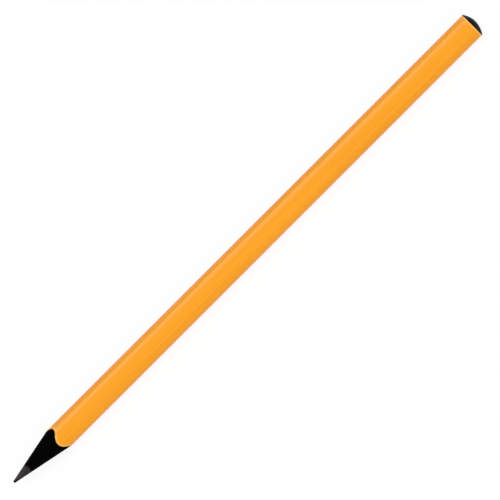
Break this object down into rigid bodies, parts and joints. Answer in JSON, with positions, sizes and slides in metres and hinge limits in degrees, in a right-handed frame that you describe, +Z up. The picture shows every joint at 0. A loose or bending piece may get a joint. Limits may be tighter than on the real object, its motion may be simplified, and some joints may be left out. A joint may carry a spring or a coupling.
{
  "type": "triangular pencil",
  "caption": "Wooden pencil with a soft triangular barrel in orange lacquer, black dyed wood, a sharpened lead tip and a black domed end.",
  "frame": {"origin": "middle of the pencil's length, under the axis, on the surface that the lower face rests on", "axes": "+X along the pencil from the lead tip to the domed end, +Z up through the top corner of the barrel"},
  "size_m": [0.175, 0.0076, 0.0075],
  "materials": {
    "graphite_lead": "fired graphite and clay, dark grey with a dull metallic sheen",
    "dyed_wood": "black dyed softwood, cut by a sharpener, matt",
    "dried_glue": "thin dried wood glue",
    "primer": "pale orange filler coat, matt where the sharpener cut it",
    "orange_lacquer": "smooth orange lacquer, softly glossy",
    "black_lacquer": "thick glossy black dipped lacquer"
  },
  "bodies": {
    "root": {"lead_core": "graphite_lead", "lower_slat": "dyed_wood", "upper_slat": "dyed_wood", "glue_film": "dried_glue", "primer_coat": "primer", "colour_coat": "orange_lacquer", "end_cap": "black_lacquer"}
  },
  "joints": []
}
